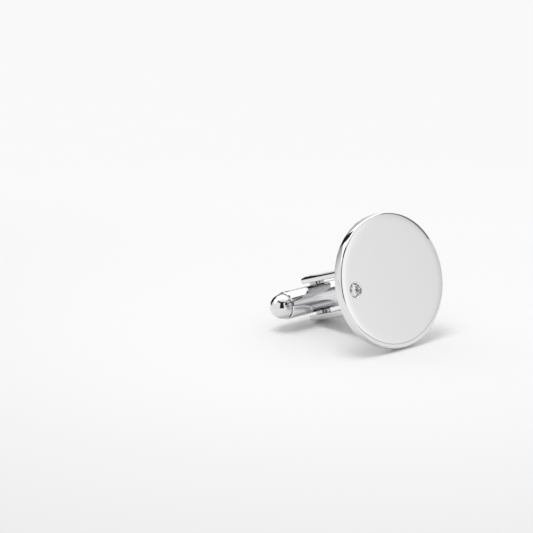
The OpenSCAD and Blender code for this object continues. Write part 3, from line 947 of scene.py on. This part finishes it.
def emitter(name, ramp):
    """Material of a sheet that gives light by a ramp of (azimuth in degrees, strength) points."""
    material = bpy.data.materials.new(name)
    material.use_nodes = True
    tree = material.node_tree
    tree.nodes.clear()
    place = add(tree, "ShaderNodeTexCoord")
    parts = add(tree, "ShaderNodeSeparateXYZ", {"Vector": place.outputs["Object"]})
    front = add(tree, "ShaderNodeMath", {0: parts.outputs["Y"], 1: -1.0}, operation="MULTIPLY")
    angle = add(tree, "ShaderNodeMath", {0: parts.outputs["X"], 1: front.outputs[0]}, operation="ARCTAN2")
    # Counted from 0 to a full turn, so that a ramp may cross the back.
    turn = add(tree, "ShaderNodeMath", {0: angle.outputs[0], 1: 2 * math.pi, 2: 0.0}, operation="WRAP")
    low, high = ramp[0][0], ramp[-1][0]
    share = add(tree, "ShaderNodeMapRange", {
        "Value": turn.outputs[0], "From Min": math.radians(low), "From Max": math.radians(high),
    })
    curve = add(tree, "ShaderNodeFloatCurve", {"Value": share.outputs["Result"]})
    points = curve.mapping.curves[0].points
    for _ in ramp[2:]:
        points.new(0.5, 0.5)
    for point, (azimuth, strength) in zip(points, ramp):
        point.location = ((azimuth - low) / (high - low), strength / TOP_STRENGTH)
        point.handle_type = "VECTOR"
    curve.mapping.update()
    power = add(tree, "ShaderNodeMath", {0: curve.outputs["Value"], 1: TOP_STRENGTH}, operation="MULTIPLY")
    glow = add(tree, "ShaderNodeEmission", {"Color": (1.0, 1.0, 1.0, 1.0), "Strength": power.outputs[0]})
    add(tree, "ShaderNodeOutputMaterial", {"Surface": glow.outputs["Emission"]})
    return material


def panel(name, azimuths, elevations, ramp, radius):
    """A studio panel that only polished surfaces see: a patch of a sphere round the cufflink.

    Azimuth 0 is the side that looks along +Y and 90 the +X side, in degrees, as for a camera.
    The ramp is one strength, or points of (azimuth, strength) with azimuths from 0 to 360.
    """
    form = bmesh.new()
    columns, rows = 24, 12
    grid = []
    for a in map(math.radians, spaced(*azimuths, columns)):
        x, y = radius * math.sin(a), -radius * math.cos(a)
        grid.append([
            form.verts.new((x * math.cos(e), y * math.cos(e), radius * math.sin(e)))
            for e in map(math.radians, spaced(*elevations, rows))
        ])
    for i in range(columns):
        for j in range(rows):
            form.faces.new((grid[i][j], grid[i][j + 1], grid[i + 1][j + 1], grid[i + 1][j]))
    mesh = as_mesh(name, form)
    if not isinstance(ramp, tuple):
        ramp = ((0, ramp), (360, ramp))
    mesh.materials.append(emitter(name, ramp))
    sheet = bpy.data.objects.new(name, mesh)
    bpy.context.scene.collection.objects.link(sheet)
    sheet.visible_camera = sheet.visible_diffuse = False
    sheet.visible_shadow = sheet.visible_transmission = False


# Each panel's name, azimuths and elevations in degrees, strength, and distance in metres
PANELS = (
    # Bright sheet overhead, from behind the cufflink to above it
    ("overhead_panel", (60, 240), (24, 90), 1.45, 0.42),
    # Dark gap between the overhead sheet and the front ones
    ("gap_front", (-115, 0), (49, 63), 0.02, 0.42),
    ("gap_right", (0, 60), (47, 56), 0.45, 0.42),
    # Camera and its stand
    ("camera_stand", (-61, -22), (-2, 50), 0.02, 0.36),
    # Grey wall behind the cufflink, on both sides of a dark post
    ("back_wall", (130, 174), (-0.5, 25), ((130, 0.78), (148, 0.66), (165, 0.5), (174, 0.42)), 0.41),
    ("dark_post", (171, 187), (3, 38), 0.02, 0.4),
    ("left_wall", (186, 217), (-0.5, 26), ((186, 0.36), (192, 0.42), (205, 0.62), (217, 0.9)), 0.41),
    # Small dark card close behind the fork
    ("dark_card", (151, 205), (0.5, 29), 0.02, 0.045),
    # Front right sheet that the face mirrors, brighter towards the front
    ("front_panel", (0, 80), (2, 40), ((0, 1.15), (29, 1.15), (39, 0.98), (50, 0.78), (80, 0.7)), 0.42),
    # Dark sheet on the right
    ("right_sheet", (54, 102), (12, 49), 0.22, 0.4),
    # Low edge on the front right
    ("table_edge", (0, 120), (-0.5, 1.5), 0.5, 0.42),
)


def plain_sight(tree):
    """A socket that is 1 for what the camera sees, straight, mirrored or through the stone."""
    rays = add(tree, "ShaderNodeLightPath").outputs
    either = add(tree, "ShaderNodeMath", {0: rays["Is Glossy Ray"], 1: rays["Is Transmission Ray"]},
                 operation="MAXIMUM")
    seen = add(tree, "ShaderNodeMath", {0: rays["Is Camera Ray"], 1: either.outputs[0]}, operation="MAXIMUM")
    return seen.outputs[0]


def matt_paper(base):
    """Matt studio paper with a fine grain, which glows a little where it is in plain sight."""
    backdrop, front = linear("#F9F9F9")[0], linear("#E8E8E8")[0]
    material = bpy.data.materials.new("matt_paper")
    material.use_nodes = True
    tree = material.node_tree
    place = add(tree, "ShaderNodeTexCoord").outputs["Object"]
    # A grain about 1 mm wide and a hundredth as high
    grain = add(tree, "ShaderNodeTexNoise", {"Vector": place, "Scale": 900.0})
    bump = add(tree, "ShaderNodeBump", {"Height": grain.outputs["Fac"], "Distance": 0.00001})
    shader = tree.nodes["Principled BSDF"]
    shader.inputs["Base Color"].default_value = base
    shader.inputs["Roughness"].default_value = 0.9
    shader.inputs["Specular IOR Level"].default_value = 0.0
    tree.links.new(bump.outputs["Normal"], shader.inputs["Normal"])
    # The share of glow in what is seen: hardly any near the cufflink, and nearly all from 90 mm on.
    away = add(tree, "ShaderNodeVectorMath", {0: place}, operation="LENGTH").outputs["Value"]
    share = add(tree, "ShaderNodeMapRange", {
        "Value": away, "From Min": 0.015, "From Max": 0.09, "To Min": 0.02, "To Max": 0.95,
    })
    seen = add(tree, "ShaderNodeMath", {0: share.outputs["Result"], 1: plain_sight(tree)},
               operation="MULTIPLY")
    # The glow is a shade darker at the front left, rises along a line to the back right, and is as
    # light as the background far away.
    depth = add(tree, "ShaderNodeVectorMath", {0: place, 1: (0.85, 0.53, 0.0)}, operation="DOT_PRODUCT")
    level = add(tree, "ShaderNodeMapRange", {
        "Value": depth.outputs["Value"], "From Min": -0.05, "From Max": 0.05,
        "To Min": front, "To Max": backdrop,
    })
    far = add(tree, "ShaderNodeMapRange", {
        "Value": away, "From Min": 0.1, "From Max": 0.5, "To Min": front, "To Max": backdrop,
    })
    lighter = add(tree, "ShaderNodeMath", {0: level.outputs["Result"], 1: far.outputs["Result"]},
                  operation="MAXIMUM")
    glow = add(tree, "ShaderNodeEmission", {"Strength": lighter.outputs[0]})
    mixed = add(tree, "ShaderNodeMixShader", {
        0: seen.outputs[0], 1: shader.outputs["BSDF"], 2: glow.outputs["Emission"],
    })
    tree.links.new(mixed.outputs["Shader"], tree.nodes["Material Output"].inputs["Surface"])
    return material


def studio_world():
    """A world that lights softly, and shows as a pale background in plain sight."""
    world = bpy.data.worlds.new("studio")
    world.use_nodes = True
    sky = world.node_tree
    light = sky.nodes["Background"]
    light.inputs["Color"].default_value = linear("#FFFFFF")
    light.inputs["Strength"].default_value = 0.75
    backdrop = add(sky, "ShaderNodeBackground", {"Color": linear("#F9F9F9"), "Strength": 1.0})
    mixed = add(sky, "ShaderNodeMixShader", {
        0: plain_sight(sky), 1: light.outputs["Background"], 2: backdrop.outputs["Background"],
    })
    sky.links.new(mixed.outputs["Shader"], sky.nodes["World Output"].inputs["Surface"])
    return world


def place_camera(studio, target):
    """Makes the camera, with the target where the middle of the face falls in the photograph."""
    a, e = studio.azimuth, studio.elevation
    back = Vector((math.sin(a) * math.cos(e), -math.cos(a) * math.cos(e), math.sin(e)))
    right = Vector((math.cos(a), math.sin(a), 0))
    up = back.cross(right)
    focal = studio.lens / SENSOR * FRAME
    across, above = (FACE_AT[0] - FRAME / 2) / focal, (FRAME / 2 - FACE_AT[1]) / focal
    lens = bpy.data.cameras.new("camera")
    lens.lens, lens.sensor_width = studio.lens, SENSOR
    lens.clip_start, lens.clip_end = 0.01, 20
    camera = bpy.data.objects.new("camera", lens)
    bpy.context.scene.collection.objects.link(camera)
    camera.location = target - (right * across + up * above - back) * studio.distance
    camera.rotation_mode = "QUATERNION"
    camera.rotation_quaternion = (-back).to_track_quat("-Z", "Y")
    bpy.context.scene.camera = camera


class CUFFLINK_OT_stage(Operator):
    """Makes the pale floor, the soft light, the studio panels and the camera"""

    bl_idname = "cufflink.stage"
    bl_label = "Studio"

    def execute(self, context):
        scene = context.scene
        form = bmesh.new()
        bmesh.ops.create_grid(form, x_segments=1, y_segments=1, size=6.0)
        mesh = as_mesh("floor", form)
        mesh.materials.append(matt_paper(scene.cufflink_finish.floor))
        ground = bpy.data.objects.new("floor", mesh)
        scene.collection.objects.link(ground)
        scene.world = studio_world()

        # Round soft lamp high above the cufflink, which polished surfaces don't mirror
        light = bpy.data.lights.new("key", "AREA")
        light.shape, light.size, light.energy = "DISK", 0.45, 2.45
        key = bpy.data.objects.new("key", light)
        scene.collection.objects.link(key)
        key.location = (-0.16, 0.04, 0.8)
        key.rotation_mode = "QUATERNION"
        key.rotation_quaternion = Vector(key.location).to_track_quat("Z", "Y")
        key.visible_glossy = False

        for row in PANELS:
            panel(*row)
        face_middle = layout().face @ Vector((0, 0, scene.cufflink_face.disc_t / MM))
        place_camera(scene.cufflink_studio, face_middle)
        scene.view_settings.view_transform = "Standard"
        return {"FINISHED"}


OPERATORS = (
    CUFFLINK_OT_face, CUFFLINK_OT_collar, CUFFLINK_OT_stone, CUFFLINK_OT_fork, CUFFLINK_OT_pin,
    CUFFLINK_OT_toggle, CUFFLINK_OT_detent, CUFFLINK_OT_stage,
)


class CUFFLINK_PT_panel(Panel):
    """Lists the pieces of the cufflink"""

    bl_idname = "CUFFLINK_PT_panel"
    bl_label = "Cufflink"
    bl_space_type = "VIEW_3D"
    bl_region_type = "UI"
    bl_category = "Cufflink"

    def draw(self, context):
        for operator in OPERATORS:
            self.layout.operator(operator.bl_idname)


CLASSES = (*GROUPS.values(), *OPERATORS, CUFFLINK_PT_panel)


def register():
    """Registers the classes, and gives the scene its groups of sizes and colours."""
    for kind in CLASSES:
        bpy.utils.register_class(kind)
    for name, group in GROUPS.items():
        setattr(bpy.types.Scene, name, PointerProperty(type=group))


def unregister():
    """Takes the groups off the scene and unregisters the classes."""
    for name in GROUPS:
        delattr(bpy.types.Scene, name)
    for kind in reversed(CLASSES):
        bpy.utils.unregister_class(kind)


def main():
    """Builds the cufflink and its studio."""
    register()
    bpy.ops.cufflink.face()
    bpy.ops.cufflink.collar()
    bpy.ops.cufflink.stone()
    bpy.ops.cufflink.fork()
    bpy.ops.cufflink.pin()
    bpy.ops.cufflink.toggle()
    bpy.ops.cufflink.detent()
    bpy.ops.cufflink.stage()


if __name__ == "__main__":
    main()
